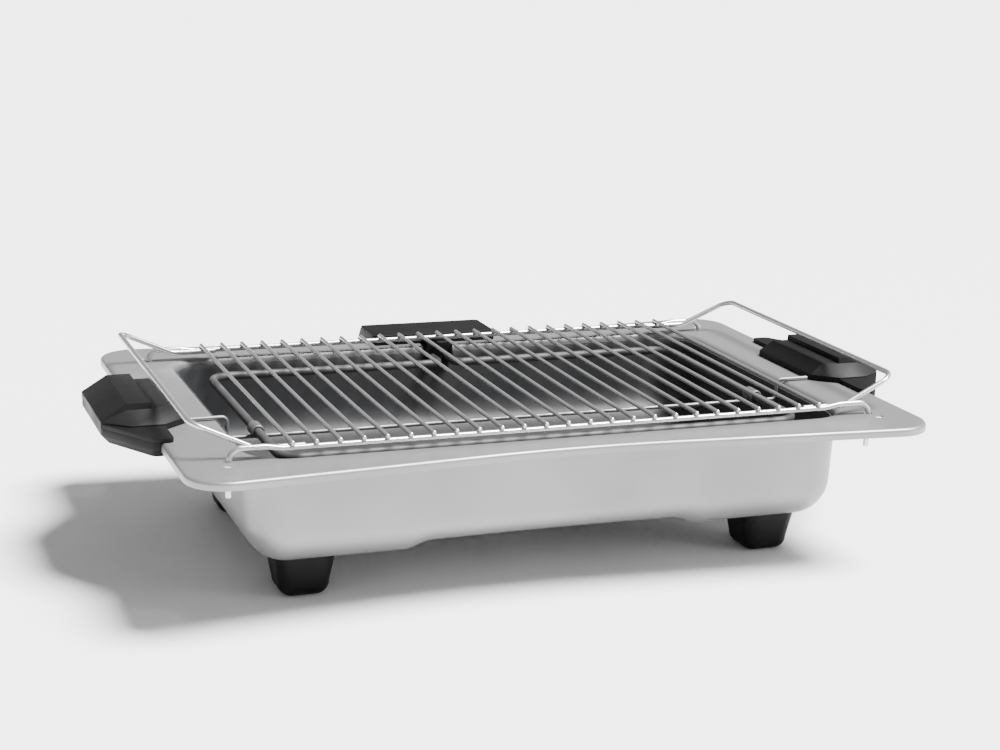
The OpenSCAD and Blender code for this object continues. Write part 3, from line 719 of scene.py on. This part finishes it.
@dataclass
class Wires:
    """Everything bent from round wire on the rack, with its welds."""

    rail_bend: float = 0.012
    leg_bend: float = 0.009
    joggle: float = 0.002
    joggle_start: float = 0.006
    joggle_length: float = 0.012
    bail_in: float = 0.010
    bail_rise: float = 0.024
    bar_half: float = 0.136
    weld: Vec = (0.0023, 0.0026, 0.0013)

    def __post_init__(self) -> None:
        """Takes the wires' sizes and places from the frame."""
        self.wires = Box.of("cross_wires")
        self.rails = {row: Box.of(f"{row.word}_rail") for row in Row}
        self.bails = {end: Box.of(f"{end.word}_bail") for end in End}
        self.rail_r = self.rails[Row.FRONT].size[1] / 2
        self.wire_r = self.wires.size[2] / 2
        self.last_wire = self.wires.high[0] - self.wire_r
        self.rail_z = self.wires.centre[2] - self.rail_r - self.wire_r + WELD_SINK

    def rail(self, row: Row) -> None:
        """A rail: straight under the wires, stepped up past them, then bent down into a leg at each end."""
        box = self.rails[row]
        y = box.centre[1]
        leg_x = box.high[0] - self.rail_r
        start = self.last_wire + self.joggle_start
        high = self.rail_z + self.joggle
        half = [(-leg_x, y, box.low[2]), (-leg_x, y, high), (-start - self.joggle_length, y, high),
                (-start, y, self.rail_z)]
        bends = [self.leg_bend, self.rail_bend, self.rail_bend]
        skin = bent_wire(mirrored(half, 0), bends + bends[::-1], self.rail_r, BACKWARD, 24)
        skin.piece(f"rack_{row.word}_rail", Body.RACK, WIRE, f"{row.word}_rail")

    def bail(self, end: End) -> None:
        """A bail: along the insides of both rails, then up and out to its cross bar."""
        box = self.bails[end]
        side, middle = end.value, box.centre[1]
        bar_x = box.high[0] - self.rail_r if side > 0 else box.low[0] + self.rail_r
        inside = 2 * middle - self.rails[Row.BACK].low[1] + self.rail_r - WELD_SINK
        half = [(side * (self.last_wire - self.bail_in), inside, self.rail_z),
                (side * (self.last_wire + self.bail_rise), inside, self.rail_z),
                (bar_x, middle - self.bar_half, box.high[2] - self.rail_r)]
        route = mirrored(half, 1, middle)
        skin = bent_wire(route, [self.rail_bend] * 4, self.rail_r, UP, 24)
        skin.piece(f"rack_{end.word}_bail", Body.RACK, WIRE, f"{end.word}_bail")

    def wire_places(self) -> Array:
        """The middles of the cross wires along X, counted from the CAD node's own solids."""
        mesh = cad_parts["cross_wires"].data
        x = np.zeros(len(mesh.vertices) * 3)
        mesh.vertices.foreach_get("co", x)
        x = np.sort(x.reshape(-1, 3)[:, 0])
        groups = np.split(x, np.flatnonzero(np.diff(x) > self.wire_r) + 1)
        return np.array([(g[0] + g[-1]) / 2 for g in groups])

    def cross_wires(self) -> None:
        """All cross wires, each a straight wire with chamfered ends and a weld at either rail.

        A weld is an ellipsoid: for angles u round Z and v from pole to pole, its point is the weld's
        half sizes times (sin v cos u, sin v sin u, cos v).
        """
        skin = Skin()
        pole = 0.15
        u = np.linspace(0, 2 * math.pi, 12, endpoint=False)
        v = np.linspace(pole, math.pi - pole, 7)[:, None]
        blob = np.stack([np.sin(v) * np.cos(u), np.sin(v) * np.sin(u), np.cos(v) + 0 * u], axis=-1)
        y = np.linspace(self.wires.low[1], self.wires.high[1], 5)
        for x in self.wire_places():
            path = np.stack([np.full(5, x), y, np.full(5, self.wires.centre[2])], axis=1)
            skin.add_rings(tube_rings(path, self.wire_r, UP, sides=16), True, True)
            for box in self.rails.values():
                place = (x, box.centre[1], self.rail_z + self.rail_r)
                skin.add_rings((place + blob * self.weld)[:, ::-1], True, True)
        skin.piece("rack_cross_wires", Body.RACK, WIRE, "cross_wires")

    def build(self) -> None:
        """Makes the whole rack."""
        self.cross_wires()
        for row in Row:
            self.rail(row)
        for end in End:
            self.bail(end)


@dataclass
class Tub:
    """The pressed steel tub: a wide rim with a rounded lip, a beaded mouth and a raised basin floor."""

    waist: float = 0.023
    corner: float = 0.028
    lip: float = 0.006
    lip_radius: float = 0.0026
    bead: float = 0.005
    mouth_gap: float = 0.0027
    basin_corner: float = 0.030
    basin_depth: float = 0.081
    draft: float = 0.0015
    fillet: float = 0.0270
    arch_half: float = 0.113
    arch_ramp: float = 0.018
    arch_rise: float = 0.007
    arch_crown: float = 0.0015
    hole_radius: float = 0.00325
    spare_hole: tuple[float, float] = (0.003, 0.0105)

    def __post_init__(self) -> None:
        """Takes the tub's sizes and place from the frame."""
        self.box = Box.of("tub")
        tray = Box.of("drip_tray")
        slope = self.waist / (self.box.size[0] / 2)
        rounded_off = self.corner * (slope + math.sqrt(1 + slope**2) - 1)
        self.rim_half = self.box.size[:2] / 2 + (0.0, rounded_off)
        self.mouth_half = tray.size[:2] / 2 + self.mouth_gap
        self.top = self.box.high[2]

    def arch(self, x: Array) -> Array:
        """Height of the raised floor at x: a smooth step at each end, with a parabola for the crown."""
        t = np.clip((self.arch_half - np.abs(x)) / self.arch_ramp, 0, 1)
        crown = np.clip(1 - (x / self.arch_half) ** 2, 0, 1)
        return self.arch_rise * t * t * (3 - 2 * t) + self.arch_crown * crown

    def rings(self) -> Array:
        """Rings from the lip's lower edge, over the rim and the bead, down to the floor's middle."""
        rim, rim_out = plan_outline(self.rim_half, self.corner, self.waist)
        inner = self.mouth_half - SHEET
        mouth, mouth_out = plan_outline(inner, self.basin_corner - SHEET)
        base, base_out = plan_outline(inner - self.draft, self.basin_corner - SHEET)
        rows = [lifted(rim, -z) for z in np.linspace(self.lip, self.lip_radius, 3)]
        rows += inward_arc(rim, rim_out, self.lip_radius, -self.lip_radius, 1, 6)
        edge = rim - rim_out * self.lip_radius
        start = mouth + mouth_out * self.bead
        rows += [lifted(edge + (start - edge) * b, 0.0) for b in np.linspace(0, 1, 10)[1:]]
        for t in np.linspace(0, QUARTER, 7)[1:]:
            drawn = mouth + mouth_out * self.bead * (1 - math.sin(t))
            rows.append(lifted(drawn, self.bead * (math.cos(t) - 1)))
        low = -(self.basin_depth - SHEET) + self.fillet
        for b in np.linspace(0, 1, 9)[1:]:
            rows.append(lifted(mouth + (base - mouth) * b, -self.bead + (low + self.bead) * b))
        rows += inward_arc(base, base_out, self.fillet - self.arch(base[:, 0]), low, -1, 11)
        foot = rows[-1][:, :2]
        for k in np.linspace(1, 0, 22)[1:-1]:
            rows.append(lifted(foot * k, low - self.fillet + self.arch(foot[:, 0] * k)))
        return np.stack(rows) + (self.box.centre[0], self.box.centre[1], self.top)

    def cutters(self, rails: dict[Row, Box], rail_r: float) -> list[Skin]:
        """Shapes of the leg holes, the spare holes beside them and the slot for the heating unit's neck."""
        made = []
        reach = 4 * self.lip
        profile = np.array([(self.hole_radius, -reach), (self.hole_radius, reach)])
        for row, box in rails.items():
            for end in End:
                for out, along in ((0.0, 0.0), self.spare_hole):
                    x = end.value * (box.high[0] - rail_r + out)
                    place = np.array([x, box.centre[1] + row.value * along, self.top])
                    made.append(closed(turned_rings(profile, place, UP, 32)))
        wide, deep = NECK_SLOT
        low = (-wide / 2, self.box.centre[1] + self.mouth_half[1] - 2 * self.bead, self.top - deep)
        high = (wide / 2, self.box.high[1] + self.lip, self.top + self.lip)
        made.append(closed(box_rings(low, high)))
        return made

    def build(self, wires: Wires) -> None:
        """Makes the tub, cuts its holes and dresses its screws."""
        skin = Skin().add_rings(self.rings(), end_cap=True)
        obj = skin.piece("tub_shell", Body.TUB, STEEL, "tub")
        carve(thicken(obj, SHEET), self.cutters(wires.rails, wires.rail_r))
        dress("foot_screws", SCREW)


@dataclass
class Feet:
    """Four moulded feet: square in plan with round corners, tapered, with a rounded lower edge."""

    top_half: float = 0.022
    base_half: float = 0.0185
    corner: float = 0.010
    fillet: float = 0.0094

    def foot(self, end: End, row: Row) -> None:
        """One foot: rounded squares that shrink downwards, then draw in along a quarter circle."""
        node = f"foot_{row.word}_{end.word}"
        box = Box.of(node)
        height = box.size[2]
        rows = []
        for z in np.linspace(height, self.fillet, 8):
            share = (z - self.fillet) / (height - self.fillet)
            half = self.base_half + (self.top_half - self.base_half) * share
            rows.append(lifted(plan_outline(np.array([half, half]), self.corner)[0], z))
        plan, outward = plan_outline(np.array([self.base_half] * 2), self.corner)
        rows += inward_arc(plan, outward, self.fillet, self.fillet, -1, 8)
        rings = np.stack(rows)[:, ::-1] + (box.centre[0], box.centre[1], box.low[2])
        closed(rings).piece(node + "_moulding", Body.TUB, FOOT, node)

    def build(self) -> None:
        """Makes all four feet."""
        for row in Row:
            for end in End:
                self.foot(end, row)


@dataclass
class Handles:
    """The two handles, each an upper and a lower moulding held by two screws."""

    edge: float = 0.0009

    def build(self) -> None:
        """Makes both handles."""
        for end in End:
            for half in ("upper", "lower"):
                node = f"{end.word}_handle_{half}"
                rounded_copy(node + "_moulding", node, Body.TUB, HANDLE, self.edge)
            dress(f"{end.word}_handle_screws", SCREW)


@dataclass
class DripTray:
    """The lift-out tray: a shell like the basin, with a flat floor and a small rounded top edge."""

    corner: float = 0.0261
    draft: float = 0.0015
    fillet: float = 0.0245
    edge: float = 0.0004

    def build(self, tub: Tub) -> None:
        """Makes the tray's inner surface, gives it its thickness and cuts the slot for the neck."""
        box = Box.of("drip_tray")
        half = box.size[:2] / 2 - SHEET
        plan, _ = plan_outline(half, self.corner)
        base, outward = plan_outline(half - self.draft, self.corner)
        height = box.size[2] - SHEET
        wall = np.linspace(0, 1, 9)
        rows = [lifted(plan + (base - plan) * b, height + (self.fillet - height) * b) for b in wall]
        rows += inward_arc(base, outward, self.fillet, self.fillet, -1, 11)
        foot = rows[-1][:, :2]
        rows += [lifted(foot * k, 0.0) for k in np.linspace(1, 0, 12)[1:-1]]
        rings = np.stack(rows) + (box.centre[0], box.centre[1], box.low[2] + SHEET)
        obj = Skin().add_rings(rings, end_cap=True).piece("tray_pan", Body.TRAY, TRAY, "drip_tray")
        thicken(obj, SHEET)
        round_edges(obj, self.edge, 2, 60.0)
        wide, deep = NECK_SLOT
        low = (-wide / 2, box.high[1] - wide / 2, tub.top - deep)
        high = (wide / 2, box.high[1] + wide / 2, tub.top)
        carve(obj, [closed(box_rings(low, high))])


@dataclass
class HeatingLoop:
    """The tubular element, with its clips, its support wire and its neck."""

    pitch: float = 0.013
    neck_bend: float = 0.0075
    loop_bend: float = 0.016
    hook_bend: float = 0.004
    clip_wall: float = 0.00175
    clip_gap: float = 0.00001
    neck_edge: float = 0.0008

    def __post_init__(self) -> None:
        """Takes the loop's sizes and place from the frame."""
        self.box = Box.of("heating_element")
        self.radius = self.box.size[2] / 2
        self.side_x = self.box.high[0] - self.radius
        self.front_y = self.box.low[1] + self.radius
        self.back_y = 2 * Box.of("tub").centre[1] - self.front_y

    def element(self) -> None:
        """The sheathed element: in through the neck, once round the basin and out again."""
        z = self.box.centre[2]
        half = [(self.pitch / 2, self.box.high[1], z), (self.pitch / 2, self.back_y, z),
                (self.side_x, self.back_y, z), (self.side_x, self.front_y, z)]
        bends = [self.neck_bend, self.loop_bend, self.loop_bend]
        skin = bent_wire(mirrored(half, 0), bends + bends[::-1], self.radius, UP, 28)
        skin.piece("element_sheath", Body.UNIT, SHEATH, "heating_element")

    def clips(self) -> None:
        """Two sleeves pressed on the element: a closed rounded section turned about the element's line."""
        box = Box.of("element_clips")
        length = box.size[1] / 2
        inner, outer = self.radius, self.radius + self.clip_wall
        lip = self.clip_wall / 2 - self.clip_gap
        corners = [(outer - lip, length - lip), (inner + lip, length - lip),
                   (inner + lip, lip - length), (outer - lip, lip - length)]
        arcs = [arc_profile(corner, lip, 90 * i, 90 * i + 90, 4) for i, corner in enumerate(corners)]
        section = np.concatenate(arcs)
        skin = Skin()
        for end in End:
            place = np.array([end.value * self.side_x, box.centre[1], self.box.centre[2]])
            skin.add_rings(turned_rings(section, place, BACKWARD, 36), loop=True)
        # The sleeves take the wire finish darkened as painted shade.
        skin.piece("element_sleeves", Body.UNIT, SHADED_WIRE, "element_clips")

    def support(self) -> None:
        """The support wire: hooked over the rim at both ends and straight across below the element."""
        box = Box.of("element_support")
        radius = box.size[1] / 2
        inner = Box.of("drip_tray").high[0] - SHEET - 2 * radius
        top, low, y = box.high[2] - radius, box.low[2] + radius, box.centre[1]
        half = [(-box.high[0], y, top), (-inner, y, top), (-inner, y, low)]
        skin = bent_wire(mirrored(half, 0), [self.hook_bend] * 4, radius, BACKWARD, 18)
        # The hanger takes the wire finish darkened as painted shade.
        skin.piece("element_hanger", Body.UNIT, SHADED_WIRE, "element_support")

    def build(self) -> None:
        """Makes the whole loop."""
        self.element()
        self.clips()
        self.support()
        rounded_copy("element_neck_moulding", "element_neck", Body.UNIT, CASE, self.neck_edge)
        dress("element_terminals", SCREW)


@dataclass
class ControlBox:
    """The box that hangs behind the rim: housing, lid, base, and what shows in its back wall."""

    edge: float = 0.0012
    lid_edge: float = 0.0007
    skirt: float = 0.0040
    skirt_width: float = 0.0030
    hub: float = 0.0045
    dish: float = 0.0014
    skirt_round: float = 0.0006
    cap_round: float = 0.0016
    flutes: int = 36
    flute_depth: float = 0.0007
    bar_half_width: float = 0.0040
    bar_corner: float = 0.0032
    bar_edge: float = 0.0014
    marks: int = 11
    sweep: float = 270.0
    mark_width: float = 0.0005
    print_height: float = 0.00012
    index_gap: float = 0.0010
    index_end: float = 0.0040

    def __post_init__(self) -> None:
        """Takes the box's sizes and place from the frame."""
        self.knob = Box.of("thermostat_knob")
        self.radius = self.knob.size[2] / 2
        self.height = self.knob.size[1]

    def facing(self, flat: Array, level: float) -> Array:
        """Points drawn round the knob's axis on a plane, turned so that the plane faces the back.

        Args:
            flat: Points of shape (..., 3): rightwards, upwards and out of the plane.
            level: The plane's height above the knob's foot.

        Returns:
            The points in the frame's axes.
        """
        x, y, z = self.knob.centre[0], self.knob.low[1] + level, self.knob.centre[2]
        return np.stack([x - flat[..., 0], y + flat[..., 2], z + flat[..., 1]], axis=-1)

    def dial(self) -> None:
        """The knob: a round skirt under a fluted cap with a dished top."""
        cap, top = self.radius - self.skirt_width, self.height - self.bar_edge - self.dish
        small, wide = self.skirt_round, self.cap_round
        foot = [(self.hub, 0.0), *arc_profile((self.radius - small, small), small, -90, 0, 4)]
        shoulder = [*arc_profile((self.radius - small, self.skirt - small), small, 0, 90, 5)]
        neck = [(cap + small, self.skirt), (cap, self.skirt + small)]
        crown = [*arc_profile((cap - wide, top - wide), wide, 0, 90, 6), (self.hub, top - small)]
        profile = np.array(foot + shoulder + neck + crown)
        fluted = np.zeros(len(profile))
        fluted[-len(crown) - 1:-1] = self.flute_depth
        origin = np.array([self.knob.centre[0], self.knob.low[1], self.knob.centre[2]])
        rings = turned_rings(profile, origin, BACKWARD, 4 * self.flutes, self.flutes, fluted)
        closed(rings).piece("dial_knob", Body.DIAL, CASE, "thermostat_knob", crease=50.0)

    def bar(self) -> None:
        """The bar across the knob: a rounded rectangle, drawn in along its top edge on a quarter circle."""
        half = np.array([self.bar_half_width, self.radius - self.skirt_width / 2])
        plan, out = plan_outline(half, self.bar_corner)
        top = self.height - self.print_height
        rows = [lifted(plan, self.skirt - top), lifted(plan, -self.bar_edge)]
        rows += inward_arc(plan, out, self.bar_edge, -self.bar_edge, 1, 5)
        closed(self.facing(np.stack(rows), top)).piece("dial_bar", Body.DIAL, CASE)

    def mark(self, angle: float, inner: float, outer: float, level: float) -> Array:
        """A thin printed block that runs outwards from the knob's axis.

        Its corners are turned by the rotation (x cos a - y sin a, x sin a + y cos a).

        Args:
            angle: How far it stands from the top, in radians.
            inner: Distance of its near end from the axis.
            outer: Distance of its far end.
            level: Height above the knob's foot of the face that it is printed on.

        Returns:
            The block's two rings.
        """
        half, cos, sin = self.mark_width / 2, math.cos(angle), math.sin(angle)
        block = box_rings((-half, inner, -self.print_height), (half, outer, self.print_height))
        x, y, z = np.moveaxis(block, -1, 0)
        return self.facing(np.stack([x * cos - y * sin, x * sin + y * cos, z], axis=-1), level)

    def prints(self) -> None:
        """The marks round the skirt and the pointer along the bar, and the box's own mark beside the knob.

        Mark i stands at an angle of sweep * (i / (marks - 1) - 1 / 2) from the top. The box's mark stays
        put while the knob's turn past it.
        """
        turning = Skin()
        cap = self.radius - self.skirt_width
        for angle in np.radians(self.sweep * (np.linspace(0, 1, self.marks) - 0.5)):
            block = self.mark(angle, cap + self.mark_width, self.radius - 2 * self.mark_width, self.skirt)
            turning.add_rings(block, True, True)
        pointer = self.mark(0.0, self.hub, cap - self.bar_corner / 2, self.height - self.print_height)
        turning.add_rings(pointer, True, True).piece("dial_print", Body.DIAL, DIAL_PRINT)
        wall = Box.of("control_housing").high[1] - self.knob.low[1]
        fixed = self.mark(-QUARTER, self.radius + self.index_gap, self.radius + self.index_end, wall)
        closed(fixed).piece("box_index", Body.UNIT, DIAL_PRINT)

    def build(self) -> None:
        """Makes the box and what shows in its wall."""
        for part, edge in (("housing", self.edge), ("lid", self.lid_edge), ("base", self.lid_edge)):
            rounded_copy(f"box_{part}", f"control_{part}", Body.UNIT, CASE, edge)
        self.dial()
        self.bar()
        self.prints()
        plain = {"control_screws": SCREW, "thermostat_shaft": SCREW, "thermostat": CERAMIC,
                 "pilot_lamp": CERAMIC, "internal_leads": LEAD, "pilot_lens": LENS, "cord_gland": RUBBER}
        for node, finish in plain.items():
            dress(node, finish)


def dress(node: str, finish: Finish) -> None:
    """Gives a CAD node that stays as it is a finish of its own."""
    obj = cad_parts[node]
    if not obj.material_slots:
        obj.data.materials.append(None)
    for slot in obj.material_slots:
        slot.link = "OBJECT"
        slot.material = finish.material()
    log.info("%s: dressed as it is", node)


# ---------- stage ----------


@dataclass
class Studio:
    """The camera, the pale floor and the soft lights."""

    lens: float = 70.59
    place: Vec = (-0.5138, -1.3795, 0.4859)
    yaw: float = 20.777
    pitch: float = 14.085
    roll: float = 1.641
    surround: float = 0.4
    floor_half: float = 30.0
    sun_place: Vec = (0.95, -0.45, 2.0)
    sun_angle: float = 24.0
    sun_strength: float = 17.0
    panel_place: Vec = (1.9, -1.3, 0.6)
    panel_target: Vec = (0.1, 0.0, 0.06)
    panel_size: tuple[float, float] = (1.0, 0.8)
    panel_power: float = 14.0

    def camera(self) -> None:
        """Makes the camera. It looks along yaw, measured from +Y towards +X, tipped down by pitch."""
        yaw, pitch, roll = (math.radians(a) for a in (self.yaw, self.pitch, self.roll))
        turn = Matrix.Rotation(-yaw, 4, "Z") @ Matrix.Rotation(QUARTER - pitch, 4, "X")
        data = bpy.data.cameras.new("camera")
        data.lens = self.lens
        data.sensor_width = 36.0
        data.clip_start, data.clip_end = 0.01, 60.0
        obj = linked("camera", data)
        obj.matrix_world = Matrix.Translation(self.place) @ turn @ Matrix.Rotation(roll, 4, "Z")
        bpy.context.scene.camera = obj

    @staticmethod
    def light(name: str, kind: str, place: Vec, target: Vec, power: float) -> bpy.types.Light:
        """A light at a place that shines towards a target. The light's data is returned."""
        away = np.array(place) - np.array(target)
        away /= np.linalg.norm(away)
        side = np.cross((0.0, 1.0, 0.001), away)
        side /= np.linalg.norm(side)
        turn = np.eye(4)
        turn[:3, :3] = np.stack([side, np.cross(away, side), away], axis=1)
        turn[:3, 3] = place
        data = bpy.data.lights.new(name, kind)
        data.energy = power
        linked(name, data).matrix_world = Matrix(turn.tolist())
        return data

    def floor(self) -> None:
        """A wide pale floor at the height of the feet."""
        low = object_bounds()[0].z
        plan = self.floor_half * np.array([[-1, -1], [1, -1], [1, 1], [-1, 1]])
        mesh = bpy.data.meshes.new("floor")
        mesh.from_pydata(lifted(plan, low).tolist(), [], [(0, 1, 2, 3)])
        obj = linked("floor", mesh)
        made = bpy.data.materials.new("floor")
        made.use_nodes = True
        shader = made.node_tree.nodes["Principled BSDF"]
        shader.inputs["Base Color"].default_value = (0.93, 0.93, 0.93, 1.0)
        shader.inputs["Roughness"].default_value = 0.7
        shader.inputs["Specular IOR Level"].default_value = 0.2
        mesh.materials.append(made)
        obj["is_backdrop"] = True

    def world(self) -> None:
        """An even white surround."""
        world = bpy.data.worlds.new("surround")
        world.use_nodes = True
        surround = world.node_tree.nodes["Background"]
        surround.inputs["Color"].default_value = (1.0, 1.0, 1.0, 1.0)
        surround.inputs["Strength"].default_value = self.surround
        bpy.context.scene.world = world

    def build(self) -> None:
        """Sets the lights and the floor."""
        self.world()
        self.floor()
        sun = self.light("far_light", "SUN", self.sun_place, (0.0, 0.0, 0.0), self.sun_strength)
        sun.angle = math.radians(self.sun_angle)
        panel = self.light("right_panel", "AREA", self.panel_place, self.panel_target, self.panel_power)
        panel.shape = "RECTANGLE"
        panel.size, panel.size_y = self.panel_size


def main() -> None:
    """Builds the camera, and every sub-assembly and the stage."""
    logging.basicConfig(level=logging.INFO, format="%(name)s: %(message)s")
    studio = Studio()
    studio.camera()
    wires = Wires()
    tub = Tub()
    tub.build(wires)
    Feet().build()
    Handles().build()
    DripTray().build(tub)
    HeatingLoop().build()
    ControlBox().build()
    wires.build()
    studio.build()


if __name__ == "__main__":
    main()
